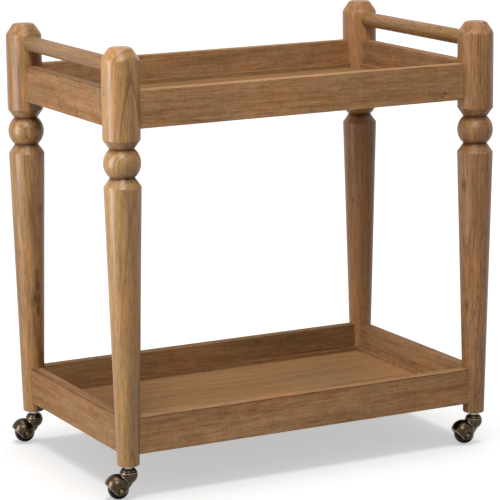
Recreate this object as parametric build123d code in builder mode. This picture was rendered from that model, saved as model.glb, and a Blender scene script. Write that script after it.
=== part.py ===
from build123d import *
from math import cos, radians, sin, sqrt
import os

os.makedirs("parts", exist_ok=True)

# Bar cart: four turned posts carry two railed trays and a pair of end handles, on hooded ball casters.
# The frame is +Z up from the floor, +X to the right and +Y to the back, centred between the posts.

# Overall layout
post_spacing_x = 760
post_spacing_y = 450
caster_height = 64
post_height = 782

# Turned post, heights above its own foot
post_diameter = 70
foot_diameter = 42
neck_diameter = 46
taper_height = 526
neck_height = 543
bead_height = 53
collar_slope_height = 17
top_diameter = 41
top_slope_height = 21

# Tray rails, floor panels and the beads that cover the joint between them
rail_thickness = 22
rail_depth = 70
rail_arris = 2
rail_end_arris = 1.5
upper_rail_bottom = 631.5 + caster_height
lower_rail_bottom = 20 + caster_height
tenon_thickness = 10
tenon_depth = 46
upper_shoulder = 32.5
lower_shoulder = 18
upper_tenon_end = 13.5
lower_tenon_end = 7.5
mortise_end_gap = 1
panel_thickness = 9
panel_sink = 56.5
panel_rebate = 4
groove_depth = 5
panel_post_gap = 0.5
bead_thickness = 5
bead_rise = 8.5
bead_round = 2

# End handles, dowels let into blind bores
handle_diameter = 30
handle_axis_height = 745.5 + caster_height
handle_end = 17
handle_bore_gap = 0.5

# Caster, in its own frame: swivel axis on Z, wheel trailing towards -X, floor at zero
trail_turn = -7
trail = 20.5
wheel_diameter = 40
wheel_width = 18
wheel_shoulder = 0.9
wheel_side_gap = 0.4
wheel_rim_gap = 0.9
axle_diameter = 5
running_fit = 0.05
axle_length = 38.4
rivet_head_diameter = 8.8
rivet_head_height = 1.5

bell_diameter = 34.4
bell_centre_height = 45
bell_top_height = 51
hood_diameter = 46.6
hood_reach = 23.3
hood_centre_height = 25
mouth_tilt = 42
mouth_distance = 12.5
skirt_tilt = 16.5
skirt_distance = 9
mouth_corner = 8
dimple_diameter = 16
web_shift = 8
web_inset = 0.8
ball_band = 30

cap_bottom_height = 52.2
cap_top_height = 56.5
washer_diameter = 25
stem_diameter = 8
hex_across_flats = 15
shank_diameter = 10
shank_length = 30
shank_bore_spare = 2
pivot_bottom_height = 37
ring_groove_height = 39
ring_thickness = 1.2
ring_diameter = 10.4
ring_seat_diameter = 6.6
ring_clearance = 0.4

post_radius = post_diameter / 2
half_x = post_spacing_x / 2
half_y = post_spacing_y / 2
sides = {"left": -1, "right": 1}
ends = {"front": -1, "rear": 1}
post_centres = [(sx * half_x, sy * half_y) for sy in ends.values() for sx in sides.values()]


def post_radius_at(height):
    """Radius of the tapered leg at a height above the floor."""
    rise = (height - caster_height) / taper_height
    return (foot_diameter + (post_diameter - foot_diameter) * rise) / 2


# Turned blank shared by the four posts
neck_low = caster_height + neck_height
neck_high = neck_low + bead_height
post_top = caster_height + post_height
bead_middle = (neck_low + neck_high) / 2
bead_radius = sqrt((bead_height / 2) ** 2 + (neck_diameter / 2) ** 2)

with BuildPart() as turned_blank:
    with BuildSketch(Plane.XZ):
        with BuildLine():
            lower_edge = Polyline(
                (0, post_top),
                (0, caster_height),
                (foot_diameter / 2, caster_height),
                (post_radius, caster_height + taper_height),
                (neck_diameter / 2, neck_low),
            )
            bead = ThreePointArc(
                lower_edge @ 1, (bead_radius, bead_middle), (neck_diameter / 2, neck_high)
            )
            Polyline(
                bead @ 1,
                (post_radius, neck_high + collar_slope_height),
                (post_radius, post_top - top_slope_height),
                (top_diameter / 2, post_top),
                (0, post_top),
            )
        make_face()
    revolve(axis=Axis.Z)
    # Bore in the foot for the threaded shank of the caster
    with Locations((0, 0, caster_height)):
        Cylinder(shank_diameter / 2, shank_length + shank_bore_spare,
                 align=(Align.CENTER, Align.CENTER, Align.MIN), mode=Mode.SUBTRACT)

trays = {
    "upper": (upper_rail_bottom, upper_shoulder, upper_tenon_end),
    "lower": (lower_rail_bottom, lower_shoulder, lower_tenon_end),
}


def export(part, label):
    """Names one finished piece and writes its file."""
    part.label = label
    export_step(part, f"parts/{label}.step")


# Posts, each with the seats of two rails a tray and of one handle
for end, sy in ends.items():
    for side, sx in sides.items():
        centre = (sx * half_x, sy * half_y)
        with BuildPart(Plane(origin=(*centre, 0))) as post:
            add(turned_blank.part)
            for bottom, shoulder, tenon_end in trays.values():
                middle = bottom + rail_depth / 2
                seat_length = 2 * post_radius
                mortise_length = seat_length - tenon_end + mortise_end_gap
                for inward, across in (((-sx, 0), 0), ((0, -sy), 90)):
                    seat_middle = shoulder + seat_length / 2
                    with Locations(Location((inward[0] * seat_middle, inward[1] * seat_middle, middle),
                                            (0, 0, across))):
                        Box(seat_length, rail_thickness, rail_depth, mode=Mode.SUBTRACT)
                    mortise_middle = tenon_end - mortise_end_gap + mortise_length / 2
                    with Locations(Location((inward[0] * mortise_middle, inward[1] * mortise_middle, middle),
                                            (0, 0, across))):
                        Box(mortise_length, tenon_thickness, tenon_depth, mode=Mode.SUBTRACT)
            bore_length = post_diameter - handle_end + handle_bore_gap
            bore_middle = handle_end - handle_bore_gap + bore_length / 2
            with Locations((0, -sy * bore_middle, handle_axis_height)):
                Cylinder(handle_diameter / 2, bore_length, rotation=(90, 0, 0), mode=Mode.SUBTRACT)
        export(post.part, f"post_{end}_{side}")

# Tray rails: a grooved board with eased arrises and a tenon at each end
tongue_thickness = panel_thickness - panel_rebate
for tray, (bottom, shoulder, tenon_end) in trays.items():
    middle = bottom + rail_depth / 2
    panel_top = bottom + rail_depth - panel_sink
    for name, spacing, plane in (
        ("front_rail", post_spacing_x, Plane(origin=(0, -half_y, middle), x_dir=(1, 0, 0))),
        ("rear_rail", post_spacing_x, Plane(origin=(0, half_y, middle), x_dir=(-1, 0, 0))),
        ("left_rail", post_spacing_y, Plane(origin=(-half_x, 0, middle), x_dir=(0, -1, 0))),
        ("right_rail", post_spacing_y, Plane(origin=(half_x, 0, middle), x_dir=(0, 1, 0))),
    ):
        body_length = spacing - 2 * shoulder
        with BuildPart(plane) as rail:
            Box(body_length, rail_thickness, rail_depth)
            chamfer(rail.edges().filter_by(Axis.Z), rail_end_arris)
            long_edges = rail.edges().filter_by(lambda edge: edge.length > body_length - 2 * rail_depth)
            chamfer(long_edges, rail_arris)
            with Locations((0, rail_thickness / 2, panel_top - panel_thickness + tongue_thickness / 2 - middle)):
                Box(body_length, 2 * groove_depth, tongue_thickness, mode=Mode.SUBTRACT)
            Box(spacing - 2 * tenon_end, tenon_thickness, tenon_depth)
        export(rail.part, f"{tray}_{name}")

    # Floor panel, notched round the posts, with a rebate along its edges that leaves the tongue for the grooves
    inner_x = post_spacing_x - rail_thickness
    inner_y = post_spacing_y - rail_thickness
    leg_radius = post_radius if tray == "upper" else post_radius_at(panel_top)
    with BuildPart(Plane.XY.offset(panel_top - panel_thickness)) as panel:
        Box(inner_x + 2 * groove_depth, inner_y + 2 * groove_depth, tongue_thickness,
            align=(Align.CENTER, Align.CENTER, Align.MIN))
        Box(inner_x - 2 * bead_thickness, inner_y - 2 * bead_thickness, panel_thickness,
            align=(Align.CENTER, Align.CENTER, Align.MIN))
        with GridLocations(post_spacing_x, post_spacing_y, 2, 2):
            Cylinder(leg_radius + panel_post_gap, 3 * panel_thickness, mode=Mode.SUBTRACT)
    export(panel.part, f"{tray}_panel")

    # Beads that stand in the rebates of the panel, against its four rails
    bead_end = shoulder + 3
    bead_height = panel_rebate + bead_rise
    with BuildPart(Plane.XY.offset(panel_top - panel_rebate)) as beads:
        for sy in ends.values():
            with Locations((0, sy * (inner_y - bead_thickness) / 2, bead_height / 2)):
                Box(post_spacing_x - 2 * bead_end, bead_thickness, bead_height)
        for sx in sides.values():
            with Locations((sx * (inner_x - bead_thickness) / 2, 0, bead_height / 2)):
                Box(bead_thickness, post_spacing_y - 2 * bead_end, bead_height)
        top_edges = beads.edges().filter_by(Plane.XY).group_by(Axis.Z)[-1]
        inner_edges = [
            edge
            for edge in top_edges
            if edge.length > 10 * bead_thickness
            and abs(edge.center().X) < inner_x / 2 - 1
            and abs(edge.center().Y) < inner_y / 2 - 1
        ]
        fillet(inner_edges, bead_round)
    export(beads.part, f"{tray}_panel_beads")

# Handles
for side, sx in sides.items():
    with BuildPart(Plane(origin=(sx * half_x, 0, handle_axis_height))) as handle:
        Cylinder(handle_diameter / 2, post_spacing_y - 2 * handle_end, rotation=(90, 0, 0))
    export(handle.part, f"handle_{side}")

# Caster stem: threaded shank, hexagon collar and pivot with the groove of its retaining ring
with BuildPart() as one_stem:
    with BuildSketch(Plane.XY.offset(cap_top_height)):
        RegularPolygon(hex_across_flats / 2, 6, major_radius=False)
    extrude(amount=caster_height - cap_top_height)
    with BuildSketch(Plane.XZ):
        with BuildLine():
            pivot = stem_diameter / 2
            seat = ring_seat_diameter / 2
            groove_top = ring_groove_height + ring_thickness
            Polyline(
                (0, caster_height + shank_length),
                (shank_diameter / 2, caster_height + shank_length),
                (shank_diameter / 2, caster_height),
                (pivot, caster_height),
                (pivot, groove_top),
                (seat, groove_top),
                (seat, ring_groove_height),
                (pivot, ring_groove_height),
                (pivot, pivot_bottom_height),
                (0, pivot_bottom_height),
                close=True,
            )
        make_face()
    revolve(axis=Axis.Z)

# Bearing cap that closes the top of the bell, its slope on the same ball
cap_radius = sqrt((bell_diameter / 2) ** 2 - (cap_bottom_height - bell_centre_height) ** 2)
cap_top_radius = sqrt((bell_diameter / 2) ** 2 - (cap_top_height - bell_centre_height) ** 2)
with BuildPart() as one_cap:
    with BuildSketch(Plane.XZ):
        with BuildLine():
            Polyline(
                (cap_radius, cap_bottom_height),
                (cap_top_radius, cap_top_height),
                (stem_diameter / 2, cap_top_height),
                (stem_diameter / 2, cap_bottom_height),
                close=True,
            )
        make_face()
    revolve(axis=Axis.Z)

# Thrust washer between the cap and the bell
with BuildPart() as one_washer:
    with BuildSketch(Plane.XY.offset(bell_top_height + running_fit)):
        Circle(washer_diameter / 2)
        Circle(stem_diameter / 2, mode=Mode.SUBTRACT)
    extrude(amount=cap_bottom_height - bell_top_height - running_fit)

# Retaining ring in the groove of the pivot
with BuildPart() as one_ring:
    with BuildSketch(Plane.XY.offset(ring_groove_height)):
        Circle(ring_diameter / 2)
        Circle(ring_seat_diameter / 2, mode=Mode.SUBTRACT)
    extrude(amount=ring_thickness)

for label, piece in (
    ("caster_stems", one_stem),
    ("caster_caps", one_cap),
    ("caster_washers", one_washer),
    ("caster_rings", one_ring),
):
    with BuildPart() as group:
        with Locations(*post_centres):
            add(piece.part)
    export(group.part, label)

# Housing: bell, hood and the web between them, one casting with a slot for the wheel
bell_centre = Vector(0, 0, bell_centre_height)
hood_centre = Vector(-hood_reach, 0, hood_centre_height)
axle_centre = Vector(-trail, 0, wheel_diameter / 2)
down_trail = (hood_centre - bell_centre).normalized()
lead = Vector(-down_trail.Z, 0, down_trail.X)
web_top = bell_centre + lead * web_shift
web_foot = hood_centre + lead * web_shift
web_top_edge = bell_centre + lead * (bell_diameter / 2 - web_inset)
web_foot_edge = hood_centre + lead * (hood_diameter / 2 - web_inset)
mouth_normal = Vector(-cos(radians(mouth_tilt)), 0, -sin(radians(mouth_tilt)))
skirt_normal = Vector(sin(radians(skirt_tilt)), 0, -cos(radians(skirt_tilt)))
mouth_along = Vector(mouth_normal.Z, 0, -mouth_normal.X)
skirt_along = Vector(-skirt_normal.Z, 0, skirt_normal.X)
mouth_point = hood_centre + mouth_normal * mouth_distance
skirt_point = axle_centre + skirt_normal * skirt_distance
to_corner = (skirt_point - mouth_point).dot(skirt_normal) / mouth_along.dot(skirt_normal)
corner = mouth_point + mouth_along * to_corner
far = 2 * hood_diameter


def ball_outline(diameter):
    """Half outline of a ball turned in straight bands, which straddle its true circle."""
    radius = diameter / (1 + cos(radians(ball_band / 2)))
    turns = [radians(turn) for turn in range(-90 + ball_band // 2, 90, ball_band)]
    rim = [(radius * cos(turn), radius * sin(turn)) for turn in turns]
    return [(0, rim[0][1]), *rim, (0, rim[-1][1])]


with BuildPart() as housing:
    for centre, diameter, up in ((bell_centre, bell_diameter, (0, 0, 1)), (hood_centre, hood_diameter, (0, 1, 0))):
        with BuildSketch(Plane(origin=centre, x_dir=(1, 0, 0), z_dir=Vector(1, 0, 0).cross(Vector(*up)))):
            with BuildLine():
                Polyline(*ball_outline(diameter), close=True)
            make_face()
        revolve(axis=Axis(centre, up))
    with BuildSketch(Plane.XZ):
        with BuildLine():
            Polyline(*[(p.X, p.Z) for p in (web_top, web_top_edge, web_foot_edge, web_foot)], close=True)
        make_face()
    revolve(axis=Axis(web_top, web_foot - web_top))
    # Mouth and skirt, cut straight across with a round corner below the axle
    with BuildSketch(Plane.XZ) as opening:
        with BuildLine():
            mouth_end = corner + mouth_along * far
            skirt_end = corner + skirt_along * far
            outer = corner + (mouth_normal + skirt_normal) * far
            Polyline(*[(p.X, p.Z) for p in (mouth_end, corner, skirt_end, outer)], close=True)
        make_face()
        fillet(opening.vertices().sort_by_distance((corner.X, 0, corner.Z))[0], mouth_corner)
    extrude(amount=hood_diameter, both=True, mode=Mode.SUBTRACT)
    # Wheel slot, the dimples of the rivet heads and the hole of the axle
    with Locations(axle_centre):
        Cylinder(wheel_diameter / 2 + wheel_rim_gap, wheel_width + 2 * wheel_side_gap,
                 rotation=(90, 0, 0), mode=Mode.SUBTRACT)
        Cylinder(axle_diameter / 2, hood_diameter, rotation=(90, 0, 0), mode=Mode.SUBTRACT)
    for side in (-1, 1):
        with Locations(axle_centre + Vector(0, side * (axle_length + hood_diameter) / 2, 0)):
            Cylinder(dimple_diameter / 2, hood_diameter, rotation=(90, 0, 0), mode=Mode.SUBTRACT)
    # Flat top for the thrust washer, and the pivot bore with the ring's groove
    with Locations((0, 0, bell_top_height)):
        Cylinder(bell_diameter, bell_diameter, align=(Align.CENTER, Align.CENTER, Align.MIN),
                 mode=Mode.SUBTRACT)
    bore_bottom = pivot_bottom_height - 1
    with Locations((0, 0, bore_bottom)):
        Cylinder(stem_diameter / 2 + running_fit, bell_top_height - bore_bottom,
                 align=(Align.CENTER, Align.CENTER, Align.MIN), mode=Mode.SUBTRACT)
    with Locations((0, 0, ring_groove_height + ring_thickness / 2)):
        Cylinder(ring_diameter / 2 + ring_clearance, ring_thickness + 2 * ring_clearance, mode=Mode.SUBTRACT)

# Wheel with bevelled shoulders, its axle along Z at its own origin
with BuildPart() as wheel:
    Cylinder(wheel_diameter / 2, wheel_width)
    chamfer(wheel.edges().filter_by(GeomType.CIRCLE), wheel_shoulder)
    Cylinder(axle_diameter / 2 + running_fit, wheel_width, mode=Mode.SUBTRACT)

# Axle: a rivet headed at both ends
with BuildPart() as axle:
    Cylinder(axle_diameter / 2, axle_length)
    for side in (-1, 1):
        with Locations((0, 0, side * (axle_length + rivet_head_height) / 2)):
            Cylinder(rivet_head_diameter / 2, rivet_head_height)

# The four casters
wheel_plane = Location(tuple(axle_centre), (90, 0, 0))
for end, sy in ends.items():
    for side, sx in sides.items():
        spot = Location((sx * half_x, sy * half_y, 0), (0, 0, trail_turn))
        caster = f"caster_{end}_{side}"
        export(housing.part.moved(spot), f"{caster}_housing")
        export(axle.part.moved(spot * wheel_plane), f"{caster}_axle")
        export(wheel.part.moved(spot * wheel_plane), f"{caster}_wheel")
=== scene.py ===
import bpy
from math import asin, cos, degrees, pi, radians, sin, sqrt
from mathutils import Euler, Matrix, Vector


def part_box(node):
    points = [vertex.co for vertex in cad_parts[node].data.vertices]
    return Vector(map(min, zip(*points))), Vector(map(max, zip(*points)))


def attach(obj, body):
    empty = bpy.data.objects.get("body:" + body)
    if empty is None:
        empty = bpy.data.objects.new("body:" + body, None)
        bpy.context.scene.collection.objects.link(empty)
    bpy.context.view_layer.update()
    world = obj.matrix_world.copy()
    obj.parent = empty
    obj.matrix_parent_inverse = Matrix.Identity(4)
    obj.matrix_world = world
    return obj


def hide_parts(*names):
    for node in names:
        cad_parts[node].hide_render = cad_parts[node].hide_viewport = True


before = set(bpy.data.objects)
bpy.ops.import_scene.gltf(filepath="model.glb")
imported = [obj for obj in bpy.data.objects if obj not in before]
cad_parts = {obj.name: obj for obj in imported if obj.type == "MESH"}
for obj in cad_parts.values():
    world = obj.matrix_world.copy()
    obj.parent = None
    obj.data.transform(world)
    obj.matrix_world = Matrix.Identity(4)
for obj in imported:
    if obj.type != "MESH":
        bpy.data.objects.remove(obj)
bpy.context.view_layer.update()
bpy.ops.object.select_all(action="DESELECT")
print("frame loaded")

mm = 0.001


# selecting and finishing

def near(a, b):
    return abs(a - b) < 1e-6


def only(obj):
    bpy.ops.object.select_all(action="DESELECT")
    obj.select_set(True)
    bpy.context.view_layer.objects.active = obj


def named(name):
    obj = bpy.context.active_object
    obj.name = name
    obj.data.name = name
    return obj


def settle(obj):  # the place and turn go into the mesh, the object stays at the origin
    only(obj)
    bpy.ops.object.transform_apply(location=True, rotation=True, scale=True)


def layAcross(obj, centre):  # what was turned on Z is laid along Y
    obj.rotation_euler = (pi / 2, 0, 0)
    obj.location = centre
    settle(obj)


def applied(obj, kind, **settings):
    only(obj)
    modifier = obj.modifiers.new(kind.title(), kind)
    for key, value in settings.items():
        setattr(modifier, key, value)
    bpy.ops.object.modifier_apply(modifier=modifier.name)


def combined(obj, tool, operation):
    applied(obj, "BOOLEAN", operation=operation, solver="EXACT", object=tool)
    bpy.data.objects.remove(tool)


def cut(obj, tool):
    combined(obj, tool, "DIFFERENCE")


def fuse(obj, tool):
    combined(obj, tool, "UNION")


def softEdges(obj, softening):  # every edge sharper than the angle is rounded
    width, segments, angle = softening
    applied(obj, "BEVEL", width=width, segments=segments, limit_method="ANGLE", angle_limit=radians(angle),
            harden_normals=False)


def smooth(obj, angle):
    only(obj)
    bpy.ops.object.shade_smooth_by_angle(angle=radians(angle))


def outward(obj):  # every face is made to point outwards
    only(obj)
    bpy.ops.object.mode_set(mode="EDIT")
    bpy.ops.mesh.select_all(action="SELECT")
    bpy.ops.mesh.normals_make_consistent(inside=False)
    bpy.ops.object.mode_set(mode="OBJECT")


def copyOf(obj, name, matrix):
    twin = obj.copy()
    twin.data = obj.data.copy()
    twin.name = name
    twin.data.name = name
    bpy.context.scene.collection.objects.link(twin)
    twin.data.transform(matrix)
    return twin


def joined(pieces, name):
    bpy.ops.object.select_all(action="DESELECT")
    for piece in pieces:
        piece.select_set(True)
    bpy.context.view_layer.objects.active = pieces[0]
    bpy.ops.object.join()
    return named(name)


def roundEdges(obj, width, segments, wanted):  # bevels the edges whose two ends are wanted
    only(obj)
    bpy.ops.object.mode_set(mode="EDIT")
    bpy.ops.mesh.select_mode(type="EDGE")
    bpy.ops.mesh.select_all(action="DESELECT")
    bpy.ops.object.mode_set(mode="OBJECT")
    for edge in obj.data.edges:
        edge.select = wanted(*(obj.data.vertices[i].co for i in edge.vertices))
    bpy.ops.object.mode_set(mode="EDIT")
    bpy.ops.mesh.bevel(offset=width, offset_type="OFFSET", segments=segments, profile=0.5)
    bpy.ops.object.mode_set(mode="OBJECT")


def turned(name, rings, segments):  # a circle at the first ring, extruded and scaled ring by ring along Z
    z, radius = rings[0]
    bpy.ops.mesh.primitive_circle_add(vertices=segments, radius=radius, fill_type="NGON", location=(0, 0, z))
    obj = named(name)
    settle(obj)
    bpy.ops.object.mode_set(mode="EDIT")
    bpy.ops.mesh.select_all(action="SELECT")
    for nextZ, nextRadius in rings[1:]:
        bpy.ops.mesh.extrude_region_move(TRANSFORM_OT_translate={"value": (0, 0, nextZ - z)})
        ratio = nextRadius / radius
        bpy.ops.transform.resize(value=(ratio, ratio, 1), center_override=(0, 0, nextZ))
        z, radius = nextZ, nextRadius
    bpy.ops.object.mode_set(mode="OBJECT")
    outward(obj)
    return obj


def arcRings(centre, radius, fromAngle, toAngle, steps):  # rings on a ball, angles from its equator
    angles = [radians(fromAngle + (toAngle - fromAngle) * i / steps) for i in range(steps + 1)]
    return [(centre + radius * sin(a), radius * cos(a)) for a in angles]


def inMm(rings):
    return [(height * mm, radius * mm) for height, radius in rings]


# material nodes

def grey(level):
    return (level,) * 3


def newMaterial(name):
    material = bpy.data.materials.new(name)
    material.use_nodes = True
    return material, material.node_tree, material.node_tree.nodes["Principled BSDF"]


def addNode(tree, kind, inputs=None, **settings):
    node = tree.nodes.new(kind)
    for key, value in settings.items():
        setattr(node, key, value)
    for key, value in (inputs or {}).items():
        if isinstance(value, bpy.types.NodeSocket):
            tree.links.new(value, node.inputs[key])
        else:
            node.inputs[key].default_value = value
    return node


def rampOf(tree, factor, stops):
    ramp = addNode(tree, "ShaderNodeValToRGB", {"Fac": factor})
    elements = ramp.color_ramp.elements
    while len(elements) < len(stops):
        elements.new(0.5)
    for element, (position, colour) in zip(elements, stops):
        element.position = position
        element.color = (*colour, 1)
    return ramp.outputs["Color"]


def mixed(tree, factor, a, b, blend="MIX"):
    node = addNode(tree, "ShaderNodeMix", data_type="RGBA", blend_type=blend)
    for socket, value in ((node.inputs[0], factor), (node.inputs[6], a), (node.inputs[7], b)):
        if isinstance(value, bpy.types.NodeSocket):
            tree.links.new(value, socket)
        elif isinstance(value, tuple):
            socket.default_value = (*value, 1)
        else:
            socket.default_value = value
    return node.outputs[2]


def times(tree, a, b):
    return mixed(tree, 1.0, a, b, "MULTIPLY")


def sums(tree, operation, a, b=0.0):
    return addNode(tree, "ShaderNodeMath", {0: a, 1: b}, operation=operation).outputs[0]


def vectorSums(tree, operation, a, b):
    return addNode(tree, "ShaderNodeVectorMath", {0: a, 1: b}, operation=operation).outputs[0]


def lengthOf(tree, vector):
    return addNode(tree, "ShaderNodeVectorMath", {0: vector}, operation="LENGTH").outputs["Value"]


def objectPlace(tree):
    return addNode(tree, "ShaderNodeTexCoord").outputs["Object"]


def noiseAt(tree, place, scale, detail, roughness=0.5):
    return addNode(tree, "ShaderNodeTexNoise", {"Vector": place, "Scale": scale, "Detail": detail,
                                                "Roughness": roughness}).outputs["Fac"]


def bumped(tree, shader, height, strength, distance):
    bump = addNode(tree, "ShaderNodeBump", {"Height": height, "Strength": strength, "Distance": distance})
    tree.links.new(bump.outputs[0], shader.inputs["Normal"])


# wood

woodTones = {
    "light": (0.345, 0.185, 0.068),
    "mid": (0.305, 0.158, 0.055),
    "line": (0.155, 0.056, 0.012),
    "pore": (0.070, 0.028, 0.010),
}
woodNoise = {  # drawn out along the grain by its stretch
    "wander": {"stretch": 8, "shift": 4.4, "scale": 14, "detail": 3, "roughness": 0.5},
    "shown": {"stretch": 4, "shift": 12.3, "scale": 16, "detail": 2, "roughness": 0.6},
    "drift": {"stretch": 5, "shift": 3.1, "scale": 9, "detail": 2, "roughness": 0.6},
    "warmth": {"stretch": 3, "shift": 21.7, "scale": 13, "detail": 2, "roughness": 0.6},
    "patch": {"stretch": 1.7, "shift": 25.3, "scale": 34, "detail": 4, "roughness": 0.6},
    "streak": {"stretch": 22, "shift": 5.3, "scale": 70, "detail": 4, "roughness": 0.6},
    "cloud": {"stretch": 2.2, "shift": 9.7, "scale": 60, "detail": 6, "roughness": 0.7},
    "ripple": {"stretch": 0.16, "shift": 27.3, "scale": 42, "detail": 2, "roughness": 0.6},
    "fibre": {"stretch": 30, "shift": 1.7, "scale": 330, "detail": 3, "roughness": 0.6},
    "fleck": {"stretch": 5, "shift": 15.1, "scale": 240, "detail": 3, "roughness": 0.65},
    "pore": {"stretch": 12, "shift": 7.9, "scale": 700, "detail": 2, "roughness": 0.6},
}
woodShades = {  # what the colour is multiplied by, from a noise's low places to its high ones
    "warmth": [(0.38, (1.05, 0.98, 0.94)), (0.62, (0.97, 1.02, 1.04))],
    "patch": [(0.36, (1.09, 0.98, 0.93)), (0.50, (1, 1, 1)), (0.64, (0.95, 0.99, 0.98))],
    "streak": [(0.30, (0.66, 0.60, 0.54)), (0.50, (1, 1, 1)), (0.72, (1.18, 1.20, 1.22))],
    "cloud": [(0.34, (0.66, 0.60, 0.56)), (0.52, (1, 1, 1)), (0.70, (1.18, 1.18, 1.14))],
    "ripple": [(0.34, (0.84, 0.81, 0.78)), (0.50, (1, 1, 1)), (0.66, (1.12, 1.13, 1.13))],
    "fibre": [(0.32, (0.72, 0.67, 0.62)), (0.52, (1, 1, 1)), (0.70, (1.16, 1.18, 1.20))],
    "fleck": [(0.36, (0.60, 0.52, 0.46)), (0.50, (1, 1, 1)), (0.66, (1.15, 1.16, 1.16))],
    "mark": [(0.0, (0.26, 0.19, 0.14)), (0.3, (0.52, 0.44, 0.38)), (1.0, (1, 1, 1))],
}
woodRings = {
    "stretch": 9,
    "crowding": 3.0,  # how many rings the spacing wanders by
    "crowdingScale": 0.4,
    "faintest": 0.2,  # share of the contrast that the weakest ring has
    "profile": [(0.0, grey(0.55)), (0.12, grey(0.12)), (0.55, grey(0)), (0.86, grey(0.75)), (0.97, grey(1))],
    "shown": [(0.38, grey(0.35)), (0.62, grey(1))],
}
woodFinish = {
    "drift": [(0.35, grey(0)), (0.65, grey(1))],
    "warmth": 0.8,
    "poreEdge": (0.57, 0.70),
    "raggedness": 0.5,  # of the edges of knots and of the painted shade in grooves and along arrises
    "roughnessSwing": (0.06, -0.05),
    "relief": (0.25, 0.5 * mm),
}
grainTurns = {"X": Euler((0, pi / 2, 0)), "Y": Euler((pi / 2, 0, 0)), "Z": Euler((0, 0, 0))}


def woodMaterial(name, grain, centre, pith=(70, 30), lean=(0, 0), ringWidth=4.5, figure=14, contrast=0.5,
                 streaks=0.7, mottle=0.2, patches=0.0, curl=0.0, flecks=0.4, tone=1.0, tint=(1, 1, 1),
                 roughness=0.4, shine=0.25, marks=()):
    material, tree, shader = newMaterial(name)
    place = objectPlace(tree)
    turn = grainTurns[grain].to_matrix() @ Euler((radians(lean[0]), radians(lean[1]), 0)).to_matrix()
    middle = Vector(centre) + turn @ Vector((*pith, 0)) * mm

    def along(stretch, shift=0.0):  # the piece's own frame, drawn out along the grain
        offset = middle + turn @ Vector((0, 0, shift))
        inputs = {"Vector": place, "Location": offset, "Rotation": turn.to_euler(), "Scale": (1, 1, stretch)}
        return addNode(tree, "ShaderNodeMapping", inputs, vector_type="TEXTURE").outputs[0]

    noise = {}
    for kind, look in woodNoise.items():
        drawnOut = along(look["stretch"], look["shift"])
        noise[kind] = noiseAt(tree, drawnOut, look["scale"], look["detail"], look["roughness"])

    def shaded(colour, kind, strength):
        return mixed(tree, strength, colour, rampOf(tree, noise[kind], woodShades[kind]), "MULTIPLY")

    # growth rings round the pith, unevenly spaced and of uneven strength
    radius = lengthOf(tree, vectorSums(tree, "MULTIPLY", along(woodRings["stretch"]), (1, 1, 0)))
    wander = sums(tree, "MULTIPLY", noise["wander"], figure * mm)
    count = sums(tree, "DIVIDE", sums(tree, "ADD", radius, wander), ringWidth * mm)
    inputs = {"W": count, "Scale": woodRings["crowdingScale"], "Detail": 1}
    crowding = addNode(tree, "ShaderNodeTexNoise", inputs, noise_dimensions="1D").outputs["Fac"]
    count = sums(tree, "ADD", count, sums(tree, "MULTIPLY", crowding, woodRings["crowding"]))
    chance = addNode(tree, "ShaderNodeTexWhiteNoise", {"W": sums(tree, "FLOOR", count)},
                     noise_dimensions="1D").outputs["Value"]
    strength = rampOf(tree, chance, [(0.25, grey(contrast * woodRings["faintest"])), (0.9, grey(contrast))])
    ring = times(tree, rampOf(tree, sums(tree, "FRACT", count), woodRings["profile"]), strength)
    ring = times(tree, ring, rampOf(tree, noise["shown"], woodRings["shown"]))

    drift = rampOf(tree, noise["drift"], woodFinish["drift"])
    body = mixed(tree, drift, woodTones["mid"], woodTones["light"])
    body = shaded(body, "warmth", woodFinish["warmth"])
    body = shaded(body, "patch", patches)
    body = mixed(tree, ring, body, woodTones["line"])
    body = shaded(body, "streak", streaks)
    body = shaded(body, "cloud", mottle)
    body = shaded(body, "ripple", curl)
    body = shaded(body, "fibre", streaks)
    body = shaded(body, "fleck", flecks)
    poreLow, poreHigh = woodFinish["poreEdge"]
    pores = rampOf(tree, noise["pore"], [(poreLow, grey(0)), (poreHigh, grey(flecks))])
    body = mixed(tree, pores, body, woodTones["pore"])
    ragged = sums(tree, "MULTIPLY", sums(tree, "SUBTRACT", noise["fleck"], 0.5), woodFinish["raggedness"])
    for point, axes, reach in marks:  # knots, and painted shade in the neck grooves and along board arrises
        offset = vectorSums(tree, "SUBTRACT", place, Vector(point) * mm)
        away = sums(tree, "DIVIDE", lengthOf(tree, vectorSums(tree, "MULTIPLY", offset, axes)), reach * mm)
        body = times(tree, body, rampOf(tree, sums(tree, "ADD", away, ragged), woodShades["mark"]))
    body = times(tree, body, tuple(tone * channel for channel in tint))
    tree.links.new(body, shader.inputs["Base Color"])

    dark, light = (grey(roughness + swing) for swing in woodFinish["roughnessSwing"])
    tree.links.new(rampOf(tree, noise["streak"], [(0.25, dark), (0.75, light)]), shader.inputs["Roughness"])
    bumped(tree, shader, sums(tree, "SUBTRACT", noise["fibre"], noise["pore"]), *woodFinish["relief"])
    shader.inputs["Specular IOR Level"].default_value = shine
    return material


# metal and rubber

bronzeLook = {
    "cloud": (110, 4, 0.6),  # scale, detail and roughness of a noise
    "brushing": (900, 2),
    "relief": (0.12, 0.1 * mm),
    "tones": [(0.30, (0.036, 0.024, 0.014)), (0.55, (0.072, 0.050, 0.030)), (0.78, (0.120, 0.087, 0.053))],
    "roughness": [(0.3, grey(0.33)), (0.75, grey(0.26))],
    "gap": 51.6 * mm,  # height of the gap between a housing and its cap, darkened there as painted shade
    "gapReach": 1.6 * mm,
    "gapPaintedShade": 0.2,
    "skinDepth": 1.5 * mm,
    "skinBlend": 1 * mm,
    "insidePaintedShade": 0.45,
    "wornAndLit": (0.58, 0.51, 0.41),
    "wornAndLitReach": 1.2 * mm,
}


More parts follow.
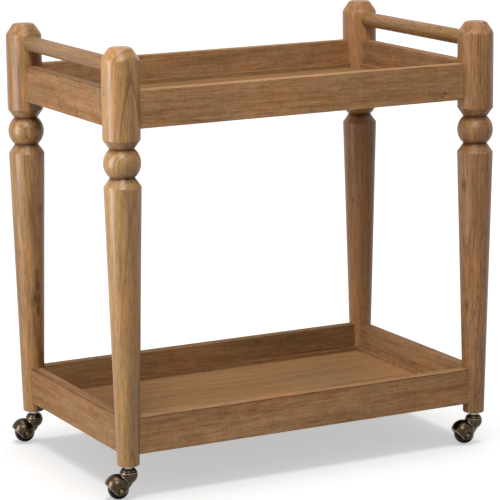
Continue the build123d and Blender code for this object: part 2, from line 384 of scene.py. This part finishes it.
def bronzeMaterial(name, tone=1.0, ball=None, wornAndLitPlanes=()):  # worn and painted highlight where a plane meets the ball's skin, painted shade inside the ball
    material, tree, shader = newMaterial(name)
    place = objectPlace(tree)
    cloud = noiseAt(tree, place, *bronzeLook["cloud"])
    colour = rampOf(tree, cloud, bronzeLook["tones"])
    height = addNode(tree, "ShaderNodeSeparateXYZ", {"Vector": place}).outputs["Z"]
    # painted shade in the gap under the cap
    offGap = sums(tree, "ABSOLUTE", sums(tree, "SUBTRACT", height, bronzeLook["gap"]))
    offGap = sums(tree, "DIVIDE", offGap, bronzeLook["gapReach"])
    colour = times(tree, colour, rampOf(tree, offGap, [(0.25, grey(bronzeLook["gapPaintedShade"])), (0.8, grey(1))]))
    colour = times(tree, colour, grey(tone))
    skin = 1.0
    # inside the hood ball the metal is darkened: painted shade on the slot walls and under the mouth
    if ball:
        centre, radius = ball
        depth = sums(tree, "SUBTRACT", lengthOf(tree, vectorSums(tree, "SUBTRACT", place, centre)),
                     radius - bronzeLook["skinDepth"])
        depth = sums(tree, "DIVIDE", depth, bronzeLook["skinBlend"])
        shade = rampOf(tree, depth, [(0.0, grey(bronzeLook["insidePaintedShade"])), (0.7, grey(1))])
        colour = times(tree, colour, shade)
        skin = rampOf(tree, depth, [(0.0, grey(0)), (0.7, grey(1))])
    for point, normal, wearAndHighlight in wornAndLitPlanes:
        offset = vectorSums(tree, "SUBTRACT", place, point)
        away = addNode(tree, "ShaderNodeVectorMath", {0: offset, 1: normal}, operation="DOT_PRODUCT")
        away = sums(tree, "DIVIDE", sums(tree, "ABSOLUTE", away.outputs["Value"]), bronzeLook["wornAndLitReach"])
        wornAndLit = sums(tree, "MULTIPLY", rampOf(tree, away, [(0.3, grey(wearAndHighlight)), (0.8, grey(0))]), skin)
        colour = mixed(tree, wornAndLit, colour, bronzeLook["wornAndLit"])
    tree.links.new(colour, shader.inputs["Base Color"])
    tree.links.new(rampOf(tree, cloud, bronzeLook["roughness"]), shader.inputs["Roughness"])
    bumped(tree, shader, noiseAt(tree, place, *bronzeLook["brushing"]), *bronzeLook["relief"])
    shader.inputs["Metallic"].default_value = 1.0
    return material


zincLook = {
    "cloud": (160, 3),
    "tones": [(0.3, (0.42, 0.43, 0.40)), (0.7, (0.72, 0.73, 0.70))],
    "roughness": [(0.3, grey(0.36)), (0.7, grey(0.24))],
}


def zincMaterial(name, tone):
    material, tree, shader = newMaterial(name)
    cloud = noiseAt(tree, objectPlace(tree), *zincLook["cloud"])
    colour = times(tree, rampOf(tree, cloud, zincLook["tones"]), grey(tone))
    tree.links.new(colour, shader.inputs["Base Color"])
    tree.links.new(rampOf(tree, cloud, zincLook["roughness"]), shader.inputs["Roughness"])
    shader.inputs["Metallic"].default_value = 1.0
    return material


rubberLook = {
    "dust": (130, 5, 0.7),
    "tones": [(0.35, (0.004, 0.004, 0.005)), (0.8, (0.018, 0.018, 0.019))],
    "roughness": [(0.3, grey(0.30)), (0.8, grey(0.45))],
    "shine": 0.2,
}


def rubberMaterial(name):
    material, tree, shader = newMaterial(name)
    dust = noiseAt(tree, objectPlace(tree), *rubberLook["dust"])
    tree.links.new(rampOf(tree, dust, rubberLook["tones"]), shader.inputs["Base Color"])
    tree.links.new(rampOf(tree, dust, rubberLook["roughness"]), shader.inputs["Roughness"])
    shader.inputs["Specular IOR Level"].default_value = rubberLook["shine"]
    return material


bronze = bronzeMaterial("antiqueBronze")
rivetBronze = bronzeMaterial("rubbedBronze", tone=2.2)
zinc = zincMaterial("brightZinc", tone=0.8)
dullZinc = zincMaterial("dullZinc", tone=0.25)
rubber = rubberMaterial("blackRubber")


def paint(obj, material):
    obj.data.materials.clear()
    obj.data.materials.append(material)


def dress(obj, material, body, slotName, *nodes):
    paint(obj, material)
    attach(obj, body)
    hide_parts(*nodes)


# layout, read from the frame

postLow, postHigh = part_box("post_front_left")
postFoot, postTop = postLow.z, postHigh.z
spots = {}
for endName in ("front", "rear"):
    for sideName in ("left", "right"):
        low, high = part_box(f"post_{endName}_{sideName}")
        spots[f"{endName}_{sideName}"] = ((low.x + high.x) / 2, (low.y + high.y) / 2)

# turned posts

post = {
    "radius": 35 * mm,
    "foot": 21 * mm,
    "neck": 23 * mm,
    "top": 20.5 * mm,
    "taperEnd": 590 * mm,
    "neckLow": 607 * mm,
    "neckHigh": 660 * mm,
    "collar": 677 * mm,
    "headTop": 825 * mm,
    "beadTrim": 0.1 * mm,
    "beadSteps": 18,
    "topRound": 4 * mm,
    "cornerRound": 1.3 * mm,
    "roundSegments": 5,
    "segments": 96,
    "smoothAngle": 35,
    "grainHeight": 0.45,
    "roughness": 0.36,
}
postLooks = {
    "front_left": {"pith": (-10, 62), "lean": (3, -1), "tone": 1.21, "contrast": 0.78, "ringWidth": 6,
                   "tint": (0.98, 1.01, 0.98), "shine": 0.5},
    "front_right": {"pith": (70, 30), "lean": (0.5, 0.5), "tone": 1.06, "contrast": 0.95, "ringWidth": 4.5,
                    "figure": 6, "streaks": 1.0, "flecks": 0.6, "tint": (1.02, 0.975, 1.08), "shine": 0.32},
    "rear_left": {"pith": (-20, 60), "lean": (-2, 1), "tone": 0.98, "contrast": 0.8, "ringWidth": 7,
                  "streaks": 1.0, "shine": 0.42},
    "rear_right": {"pith": (55, 45), "lean": (1, -2), "tone": 1.12, "contrast": 0.6,
                   "tint": (1.02, 0.985, 1.12), "shine": 0.25},
}
postKnots = {  # place in mm, the axes that count, reach in mm
    "front_left": [((-414.9, -226.9, 762.6), (1, 1, 1), 4)],
    "front_right": [((348.4, -235.6, 527.0), (1, 1, 0.35), 8), ((356.0, -236.9, 281.9), (1, 1, 0.2), 4)],
    "rear_left": [((-380.3, 197.7, 299.8), (1, 1, 0.5), 13), ((-377.0, 197.0, 326.0), (1, 1, 0.5), 9),
                  ((-378.0, 196.0, 350.0), (1, 1, 0.4), 7), ((-376.0, 198.7, 274.0), (1, 1, 0.4), 7)],
    "rear_right": [((354.0, 208.8, 425.9), (1, 1, 0.6), 4)],
}
# painted shade: each post is darkened round its two neck grooves
grooveShadeMarks = [((0, 0, post[neck] / mm), (0, 0, 1), 7) for neck in ("neckLow", "neckHigh")]


def turnedPost():
    middle = (post["neckLow"] + post["neckHigh"]) / 2
    halfBead = (post["neckHigh"] - post["neckLow"]) / 2
    beadRadius = sqrt(halfBead ** 2 + post["neck"] ** 2)
    reach = degrees(asin(halfBead / beadRadius))
    rings = [(postFoot, post["foot"]), (post["taperEnd"], post["radius"])]
    rings += arcRings(middle, beadRadius - post["beadTrim"], -reach, reach, post["beadSteps"])
    rings += [(post["collar"], post["radius"]), (post["headTop"], post["radius"]), (postTop, post["top"])]
    obj = turned("post", rings, post["segments"])
    for heights, width in (((postTop, post["headTop"]), post["topRound"]),
                           ((postFoot, post["taperEnd"], post["collar"]), post["cornerRound"])):
        roundEdges(obj, width, post["roundSegments"],
                   lambda a, b: near(a.z, b.z) and any(near(a.z, height) for height in heights))
    smooth(obj, post["smoothAngle"])
    return obj


patternPost = turnedPost()
for spot, (x, y) in spots.items():
    piece = copyOf(patternPost, f"turnedPost_{spot}", Matrix.Translation((x, y, 0)))
    wood = woodMaterial(f"postWood_{spot}", "Z", (x, y, post["grainHeight"]), roughness=post["roughness"],
                        marks=(*grooveShadeMarks, *postKnots[spot]), **postLooks[spot])
    dress(piece, wood, "cart", "post_wood", f"post_{spot}")
bpy.data.objects.remove(patternPost)
print("posts turned")

# handles

handle = {
    "radius": 15 * mm,
    "segments": 64,
    "softening": (1 * mm, 2, 40),  # width, segments, and the angle in degrees above which an edge gets it
    "smoothAngle": 35,
}
handleLooks = {
    "left": {"tone": 0.72, "pith": (50, 30), "tint": (1, 1.05, 1.25)},
    "right": {"tone": 0.95, "pith": (-40, 50), "flecks": 0.7},
}
for sideName, look in handleLooks.items():
    low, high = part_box(f"handle_{sideName}")
    centre = (low + high) / 2
    length = high.y - low.y
    rings = [(share * length, handle["radius"]) for share in (-0.5, 0, 0.5)]
    piece = turned(f"dowelHandle_{sideName}", rings, handle["segments"])
    softEdges(piece, handle["softening"])
    layAcross(piece, centre)
    smooth(piece, handle["smoothAngle"])
    wood = woodMaterial(f"handleWood_{sideName}", "Y", centre, **look)
    dress(piece, wood, "cart", "handle_wood", f"handle_{sideName}")
print("handles placed")

# tray rails

rail = {
    "arris": 1.8 * mm,
    "arrisSegments": 4,
    "endArris": 2.0 * mm,
    "endSegments": 3,
    "smoothAngle": 40,
    "upperShoulder": 32.5 * mm,  # from a post's axis to a board's end, inside the post's skin
    "lowerShoulder": 18 * mm,
}
railWood = {"mottle": 0.4, "patches": 0.8, "curl": 0.42, "flecks": 0.35, "roughness": 0.68, "shine": 0.1,
            "tint": (1, 1.04, 1.35)}
# tones differ board to board: partly the wood, and partly painted light, with the front boards set lighter
# and the left boards darker to even out the key light that falls on the left faces
railLooks = {
    "upper_front_rail": {"grain": "X", "tone": 1.36, "pith": (20, 90), "lean": (0, 1.2), "contrast": 0.25},
    "upper_rear_rail": {"grain": "X", "tone": 1.16, "pith": (-30, 80), "lean": (0.6, -1), "contrast": 0.25,
                        "tint": (0.98, 1.06, 1.40)},
    "upper_left_rail": {"grain": "Y", "tone": 0.86, "pith": (70, 10), "lean": (1, 0), "contrast": 0.35},
    "upper_right_rail": {"grain": "Y", "tone": 0.98, "pith": (-80, 20), "lean": (-1, 0), "contrast": 0.3},
    "lower_front_rail": {"grain": "X", "tone": 1.34, "pith": (-20, 100), "lean": (0, -1), "contrast": 0.2},
    "lower_rear_rail": {"grain": "X", "tone": 1.00, "pith": (15, 85), "lean": (0, 1.2), "contrast": 0.25,
                        "tint": (0.98, 1.06, 1.38)},
    "lower_left_rail": {"grain": "Y", "tone": 0.92, "pith": (80, -15), "lean": (1, 0), "contrast": 0.3},
    "lower_right_rail": {"grain": "Y", "tone": 0.92, "pith": (-90, 15), "lean": (-1, 0), "contrast": 0.3},
}
# dark spots on the upper front board; on the left boards and the lower front board, a painted shade line
# along the outer top arris
railKnotsAndShadeLines = {
    "upper_front_rail": [((303.7, -236, 711.9), (1, 1, 1), 4), ((298.0, -236, 704.5), (1, 1, 1), 4)],
    "upper_left_rail": [((-390.5, 0, 765.5), (1, 0, 1), 1.6)],
    "lower_left_rail": [((-390.5, 0, 153.5), (1, 0, 1), 2)],
    "lower_front_rail": [((0, -235.8, 153.0), (0, 1, 1), 1.5)],
}


def blockBetween(name, low, high):
    bpy.ops.mesh.primitive_cube_add(size=1, location=(low + high) / 2)
    obj = named(name)
    obj.scale = high - low
    settle(obj)
    return obj


def board(name, low, high):  # the ends' standing edges are eased first, then the long edges are rounded
    obj = blockBetween(name, low, high)
    height, length = high.z - low.z, max(high - low)
    roundEdges(obj, rail["endArris"], rail["endSegments"], lambda a, b: abs(a.z - b.z) > 0.5 * height)
    roundEdges(obj, rail["arris"], rail["arrisSegments"],
               lambda a, b: (a - b).length > 0.9 * length and near(a.z, b.z))
    outward(obj)
    smooth(obj, rail["smoothAngle"])
    return obj


for railName, look in railLooks.items():
    low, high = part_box(railName)
    grainAxis = 0 if look["grain"] == "X" else 1
    shoulder = rail["upperShoulder" if railName.startswith("upper") else "lowerShoulder"]
    low[grainAxis] = spots["front_left"][grainAxis] + shoulder
    high[grainAxis] = spots["rear_right"][grainAxis] - shoulder
    piece = board(f"board_{railName}", low, high)
    wood = woodMaterial(f"wood_{railName}", centre=(low + high) / 2, marks=railKnotsAndShadeLines.get(railName, ()),
                        **{**railWood, **look})
    dress(piece, wood, "cart", "rail_wood", railName)
print("rails placed")

# tray floors and their beads

panelWood = {"grain": "X", "figure": 60, "streaks": 0.5, "patches": 0.6, "flecks": 0.15,
             "tint": (1, 1.04, 1.3), "roughness": 0.68, "shine": 0.08}
# the lower floor is set lighter than the upper one: painted light, making up for the shade the upper tray
# casts on it
panelLooks = {
    "upper_panel": {"tone": 0.86, "pith": (120, 40), "lean": (0, 1), "ringWidth": 26, "contrast": 0.3},
    "lower_panel": {"tone": 1.18, "pith": (140, -60), "lean": (0, -1), "ringWidth": 30, "contrast": 0.3},
}
beadWood = {"grain": "X", "tone": 0.93, "tint": (1, 1.04, 1.3), "pith": (40, 120), "roughness": 0.68,
            "shine": 0.1}
bead = {"thickness": 5 * mm, "round": 2.0 * mm, "roundSegments": 4, "smoothAngle": 40}

for panelName, look in panelLooks.items():
    low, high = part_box(panelName)
    wood = woodMaterial(f"wood_{panelName}", centre=(low + high) / 2, **panelWood, **look)
    paint(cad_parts[panelName], wood)

for trayName in ("upper", "lower"):
    low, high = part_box(f"{trayName}_panel_beads")
    strips = []
    for sign in (-1, 1):
        for across in (1, 0):  # a pair along X and a pair along Y
            stripLow, stripHigh = low.copy(), high.copy()
            if sign < 0:
                inner = stripHigh[across] = low[across] + bead["thickness"]
            else:
                inner = stripLow[across] = high[across] - bead["thickness"]
            strip = blockBetween("strip", stripLow, stripHigh)
            roundEdges(strip, bead["round"], bead["roundSegments"], lambda a, b: all(
                near(end.z, high.z) and near(end[across], inner) for end in (a, b)))
            smooth(strip, bead["smoothAngle"])
            strips.append(strip)
    piece = joined(strips, f"beads_{trayName}")
    wood = woodMaterial(f"beadWood_{trayName}", centre=(low + high) / 2, **beadWood)
    dress(piece, wood, "cart", "panel_wood", f"{trayName}_panel_beads")
print("tray floors finished")

# casters, made once in their own frame: swivel axis on Z, wheel trailing towards -X

caster = {
    "turn": radians(-7),
    "axle": Vector((-20.5, 0, 20)) * mm,
    "bell": Vector((0, 0, 45)) * mm,
    "bellRadius": 17.2 * mm,
    "bellTop": 51 * mm,
    "hood": Vector((-23.3, 0, 25)) * mm,
    "hoodRadius": 23.3 * mm,
    "mouthTilt": radians(42),
    "mouthDistance": 12.5 * mm,
    "skirtTilt": radians(16.5),
    "skirtDistance": 9 * mm,
    "mouthCorner": 8 * mm,
    "slotRadius": 20.9 * mm,
    "slotWidth": 18.8 * mm,
    "dimple": 8 * mm,
    "dimpleFloor": 19.2 * mm,
    "webShift": 8 * mm,
    "webInset": 0.6 * mm,
    "welt": 0.9 * mm,
    "weltSegments": 16,
    "cornerSegments": 16,
    "dimpleSegments": 64,
    "segments": 96,
    "voxel": 0.4 * mm,
    "smoothing": {"factor": 0.5, "iterations": 3},
    "smoothAngle": 60,
    "toolDepth": 20 * mm,  # more than any cut is deep
    "topReach": 40 * mm,
    "toolReach": 90 * mm,  # past the casting on all sides
}
# the mouth edge is partly worn metal and partly a painted highlight; the welt and the bell's rim get only a
# painted highlight
casterWearAndHighlight = {"mouth": 0.8, "welt": 0.22, "rim": 0.26, "rimDrop": 0.8 * mm}

mouthNormal = Vector((-cos(caster["mouthTilt"]), 0, -sin(caster["mouthTilt"])))
mouthPoint = caster["hood"] + mouthNormal * caster["mouthDistance"]
neckRun = caster["hood"] - caster["bell"]
neckReach = neckRun.length_squared + caster["bellRadius"] ** 2 - caster["hoodRadius"] ** 2
neckReach /= 2 * neckRun.length  # from the bell's centre to where the two balls meet
weltCentre = caster["bell"] + neckRun.normalized() * neckReach


def ballAt(name, centre, radius):
    segments = caster["segments"]
    bpy.ops.mesh.primitive_uv_sphere_add(segments=segments, ring_count=segments // 2, radius=radius,
                                         location=centre)
    obj = named(name)
    settle(obj)
    return obj


def drumAt(name, centre, radius, depth, segments, turn=(0, 0, 0)):
    bpy.ops.mesh.primitive_cylinder_add(vertices=segments, radius=radius, depth=depth, location=centre,
                                        rotation=turn)
    obj = named(name)
    settle(obj)
    return obj


def webCone():  # fills the throat under the neck, between hood and bell
    throat = Vector((-neckRun.z, 0, neckRun.x)).normalized() * caster["webShift"]
    webLow, webHigh = caster["hood"] + throat, caster["bell"] + throat
    inset = caster["webShift"] + caster["webInset"]
    bpy.ops.mesh.primitive_cone_add(
        vertices=caster["segments"], depth=neckRun.length,
        radius1=caster["hoodRadius"] - inset, radius2=caster["bellRadius"] - inset,
        location=(webLow + webHigh) / 2, rotation=(webHigh - webLow).to_track_quat("Z", "Y").to_euler())
    web = named("web")
    settle(web)
    return web


def weltRing():  # round the neck, where the hood meets the bell
    bpy.ops.mesh.primitive_torus_add(
        major_segments=caster["segments"], minor_segments=caster["weltSegments"],
        major_radius=sqrt(caster["bellRadius"] ** 2 - neckReach ** 2), minor_radius=caster["welt"],
        location=weltCentre, rotation=neckRun.to_track_quat("Z", "Y").to_euler())
    welt = named("welt")
    settle(welt)
    return welt


def openingBlock():  # mouth and skirt in one block, round where they meet
    skirt = Vector((sin(caster["skirtTilt"]), 0, -cos(caster["skirtTilt"])))
    skirtPoint = caster["axle"] + skirt * caster["skirtDistance"]
    alongMouth = Vector((mouthNormal.z, 0, -mouthNormal.x))
    alongSkirt = Vector((-skirt.z, 0, skirt.x))
    corner = mouthPoint + alongMouth * ((skirtPoint - mouthPoint).dot(skirt) / alongMouth.dot(skirt))
    far = caster["toolReach"]
    outline = [corner + run * far for run in (Vector(), alongMouth, mouthNormal + skirt, alongSkirt)]
    nearSide = Vector((0, -far / 2, 0))
    bpy.ops.mesh.primitive_plane_add(size=1, location=nearSide, rotation=(pi / 2, 0, 0))
    block = named("opening")
    settle(block)
    for i, point in zip((0, 1, 3, 2), outline):
        block.data.vertices[i].co = point + nearSide
    only(block)
    bpy.ops.object.mode_set(mode="EDIT")
    bpy.ops.mesh.select_all(action="SELECT")
    bpy.ops.mesh.extrude_region_move(TRANSFORM_OT_translate={"value": (0, far, 0)})
    bpy.ops.object.mode_set(mode="OBJECT")
    roundEdges(block, caster["mouthCorner"], caster["cornerSegments"],
               lambda a, b: abs(a.y - b.y) > far / 2 and (a.xz - corner.xz).length < 1e-5)
    outward(block)
    return block


def housingCasting():
    across = (pi / 2, 0, 0)
    casting = ballAt("housing", caster["bell"], caster["bellRadius"])
    fuse(casting, ballAt("hoodBall", caster["hood"], caster["hoodRadius"]))
    fuse(casting, webCone())
    fuse(casting, weltRing())
    cut(casting, openingBlock())
    cut(casting, drumAt("slotTool", caster["axle"], caster["slotRadius"], caster["slotWidth"],
                        caster["segments"], across))
    depth = caster["toolDepth"]
    for side in (-1, 1):
        centre = caster["axle"] + Vector((0, side * (caster["dimpleFloor"] + depth / 2), 0))
        cut(casting, drumAt("dimpleTool", centre, caster["dimple"], depth, caster["dimpleSegments"], across))
    cut(casting, drumAt("topTool", (0, 0, caster["bellTop"] + depth / 2), caster["topReach"], depth,
                        caster["dimpleSegments"]))
    applied(casting, "REMESH", mode="VOXEL", voxel_size=caster["voxel"], use_smooth_shade=True)
    applied(casting, "SMOOTH", **caster["smoothing"])
    smooth(casting, caster["smoothAngle"])
    return casting


wheel = {
    "radius": 20 * mm,
    "halfWidth": 9 * mm,
    "treadSteps": 14,
    "side": inMm([(7.2, 5), (7.2, 14), (8.8, 15.2), (9, 16.4)]),  # off the middle and radius, hub to rim
    "softening": (0.5 * mm, 3, 30),
    "smoothAngle": 40,
    "segments": 96,
}


def wheelOnAxle():
    reach = degrees(asin(wheel["halfWidth"] / wheel["radius"]))
    rings = [(-width, radius) for width, radius in wheel["side"]]
    rings += arcRings(0, wheel["radius"], -reach, reach, wheel["treadSteps"])
    rings += reversed(wheel["side"])
    obj = turned("wheel", rings, wheel["segments"])
    softEdges(obj, wheel["softening"])
    layAcross(obj, caster["axle"])
    smooth(obj, wheel["smoothAngle"])
    return obj


rivet = {
    "pin": 2.5 * mm,
    "head": 4.3 * mm,
    "reach": 19.2 * mm,
    "dome": [(0.15, 1), (0.8, 0.9), (1.25, 0.65), (1.45, 0.3)],  # height in mm, share of the head's radius
    "smoothAngle": 50,
    "segments": 48,
}


def axleRivet():
    pin, head, reach = rivet["pin"], rivet["head"], rivet["reach"]
    dome = [(reach + height * mm, head * share) for height, share in rivet["dome"]]
    rings = [(-height, radius) for height, radius in reversed(dome)]
    rings += [(-reach, head), (-reach, pin), (reach, pin), (reach, head), *dome]
    obj = turned("rivet", rings, rivet["segments"])
    layAcross(obj, caster["axle"])
    smooth(obj, rivet["smoothAngle"])
    return obj


stem = {
    "flats": 15 * mm,
    "hexMiddle": 60.25 * mm,
    "hexHeight": 7.5 * mm,
    "hexSoftening": (0.5 * mm, 3, 40),
    "shank": inMm([(37, 3.6), (37.6, 4), (60, 4), (60.2, 5), (93, 5), (94, 4.2)]),  # height and radius
    "smoothAngle": 35,
    "segments": 48,
}


def hexStem():
    corner = stem["flats"] / 2 / cos(pi / 6)
    collar = drumAt("hexCollar", (0, 0, stem["hexMiddle"]), corner, stem["hexHeight"], 6)
    softEdges(collar, stem["hexSoftening"])
    obj = joined([collar, turned("shank", stem["shank"], stem["segments"])], "stem")
    smooth(obj, stem["smoothAngle"])
    return obj


cap = {
    "rings": inMm([(52.2, 14.6), (52.4, 15.45), (54.2, 14.5), (54.5, 13.9), (54.9, 13.9), (56.2, 12.9),
                   (56.5, 12.3)]),  # height and radius
    "softening": (0.25 * mm, 2, 30),
    "smoothAngle": 40,
    "segments": 96,
}


def bearingCap():
    obj = turned("cap", cap["rings"], cap["segments"])
    softEdges(obj, cap["softening"])
    smooth(obj, cap["smoothAngle"])
    return obj


patterns = {"housing": housingCasting(), "wheel": wheelOnAxle(), "axle": axleRivet()}
sharedPatterns = {
    "caster_stems": (hexStem(), zinc, "zinc_steel"),
    "caster_caps": (bearingCap(), bronze, "antique_bronze"),
}
casterFinish = {"wheel": (rubber, "black_rubber"), "axle": (rivetBronze, "antique_bronze")}
for spot, (x, y) in spots.items():
    place = Matrix.Translation((x, y, 0)) @ Matrix.Rotation(caster["turn"], 4, "Z")
    rotation = place.to_3x3()
    rimPoint = Vector((0, 0, caster["bellTop"] - casterWearAndHighlight["rimDrop"]))
    wornAndLitPlanes = (
        (place @ mouthPoint, rotation @ mouthNormal, casterWearAndHighlight["mouth"]),
        (place @ weltCentre, rotation @ neckRun.normalized(), casterWearAndHighlight["welt"]),
        (place @ rimPoint, (0, 0, 1), casterWearAndHighlight["rim"]),
    )
    hoodBall = (place @ caster["hood"], caster["hoodRadius"])
    castingBronze = bronzeMaterial(f"castingBronze_{spot}", ball=hoodBall, wornAndLitPlanes=wornAndLitPlanes)
    casterFinish["housing"] = (castingBronze, "antique_bronze")
    for part, pattern in patterns.items():
        piece = copyOf(pattern, f"{part}_{spot}", place)
        material, slotName = casterFinish[part]
        body = f"wheel_{spot}" if part == "wheel" else f"swivel_{spot}"
        dress(piece, material, body, slotName, f"caster_{spot}_{part}")
for nodeName, (pattern, material, slotName) in sharedPatterns.items():
    copies = [copyOf(pattern, f"{nodeName}_{spot}", Matrix.Translation((x, y, 0)))
              for spot, (x, y) in spots.items()]
    piece = joined(copies, f"{nodeName}Set")
    dress(piece, material, "cart", slotName, nodeName)
for pattern in [*patterns.values(), *(entry[0] for entry in sharedPatterns.values())]:
    bpy.data.objects.remove(pattern)
for nodeName in ("caster_washers", "caster_rings"):
    paint(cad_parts[nodeName], dullZinc)
print("casters finished")

# floor and light

studio = {
    "floorSize": 60,
    "floorAlbedo": (0.3, 0.9),  # for light that bounces, and as seen
    "floorRoughness": 0.9,
    "floorGlow": (0, 0.50),
    "skyStrength": (0.24, 1.0),
    "overhead": {"strength": 1.45, "spread": 30},
    "key": {"place": (-2.28, -0.04, 0.90), "size": (0.8, 1.75), "power": 44, "target": (0, 0, 0.90)},
    "fill": {"place": (-1.45, -2.78, 3.8), "size": (1.2, 1.2), "power": 112, "target": (0, 0, 0.45)},
}
sideLit = bpy.data.collections.new("sideLit")  # all but the floor, which is the overhead light's alone
shading = bpy.data.collections.new("shading")  # all but the handles, which let the overhead light past


def leftOut(collection, obj):
    collection.objects.link(obj)
    collection.collection_objects[-1].light_linking.link_state = "EXCLUDE"


def onlySeen(tree, levels):  # bouncing light meets the first level, camera and reflections see the second
    rays = addNode(tree, "ShaderNodeLightPath").outputs
    seen = sums(tree, "MAXIMUM", rays["Is Camera Ray"], rays["Is Glossy Ray"])
    seen = sums(tree, "MAXIMUM", seen, rays["Is Transmission Ray"])
    inputs = {"Value": seen, "To Min": levels[0], "To Max": levels[1]}
    return addNode(tree, "ShaderNodeMapRange", inputs).outputs[0]


def floorAndSky():
    bpy.ops.mesh.primitive_plane_add(size=studio["floorSize"], location=(0, 0, 0))
    floor = named("studioFloor")
    material, tree, shader = newMaterial("floorPaint")
    tree.links.new(onlySeen(tree, studio["floorAlbedo"]), shader.inputs["Base Color"])
    shader.inputs["Roughness"].default_value = studio["floorRoughness"]
    shader.inputs["Specular IOR Level"].default_value = 0.0
    shader.inputs["Emission Color"].default_value = (1, 1, 1, 1)
    tree.links.new(onlySeen(tree, studio["floorGlow"]), shader.inputs["Emission Strength"])
    floor.data.materials.append(material)
    leftOut(sideLit, floor)
    world = bpy.data.worlds.new("studioSky")
    bpy.context.scene.world = world
    world.use_nodes = True
    background = world.node_tree.nodes["Background"]
    background.inputs["Color"].default_value = (1, 1, 1, 1)
    strength = onlySeen(world.node_tree, studio["skyStrength"])
    world.node_tree.links.new(strength, background.inputs["Strength"])


def softbox(name, place, size, power, target):
    bpy.ops.object.light_add(type="AREA", location=place)
    lamp = bpy.context.active_object
    lamp.name = name
    lamp.data.shape = "RECTANGLE"
    lamp.data.size, lamp.data.size_y = size
    lamp.data.energy = power
    lamp.light_linking.receiver_collection = sideLit
    lamp.rotation_euler = (Vector(target) - Vector(place)).to_track_quat("-Z", "Y").to_euler()


floorAndSky()
for lampName in ("key", "fill"):
    softbox(lampName, **studio[lampName])
bpy.ops.object.light_add(type="SUN", location=(0, 0, 3))
overhead = bpy.context.active_object
overhead.name = "overhead"
overhead.data.energy = studio["overhead"]["strength"]
overhead.data.angle = radians(studio["overhead"]["spread"])
overhead.light_linking.blocker_collection = shading
for sideName in ("left", "right"):
    leftOut(shading, bpy.data.objects[f"dowelHandle_{sideName}"])

# camera, solved from the photograph's perspective

view = {
    "yaw": radians(-27.58),
    "pitch": radians(10.94),
    "roll": radians(-0.64),
    "distance": 5.0356,
    "target": Vector((0, 0, 0.455)),
    "sensor": 36,
    "lens": 2545.4 / 500 * 36,
    "shiftX": (250 - 250.56) / 500,
    "shiftY": (218.95 - 250) / 500,
}
yaw, pitch, roll = view["yaw"], view["pitch"], view["roll"]
back = Vector((sin(yaw) * cos(pitch), -cos(yaw) * cos(pitch), sin(pitch)))
right = Vector((cos(yaw), sin(yaw), 0))
up = back.cross(right)
rolledRight = cos(roll) * right + sin(roll) * up
rolledUp = cos(roll) * up - sin(roll) * right
bpy.ops.object.camera_add(location=view["target"] + back * view["distance"])
camera = bpy.context.active_object
camera.rotation_euler = Matrix((rolledRight, rolledUp, back)).transposed().to_euler()
camera.data.lens = view["lens"]
camera.data.sensor_width = view["sensor"]
camera.data.shift_x = view["shiftX"]
camera.data.shift_y = view["shiftY"]
bpy.context.scene.camera = camera
bpy.context.scene.view_settings.view_transform = "Standard"
print("studio set")
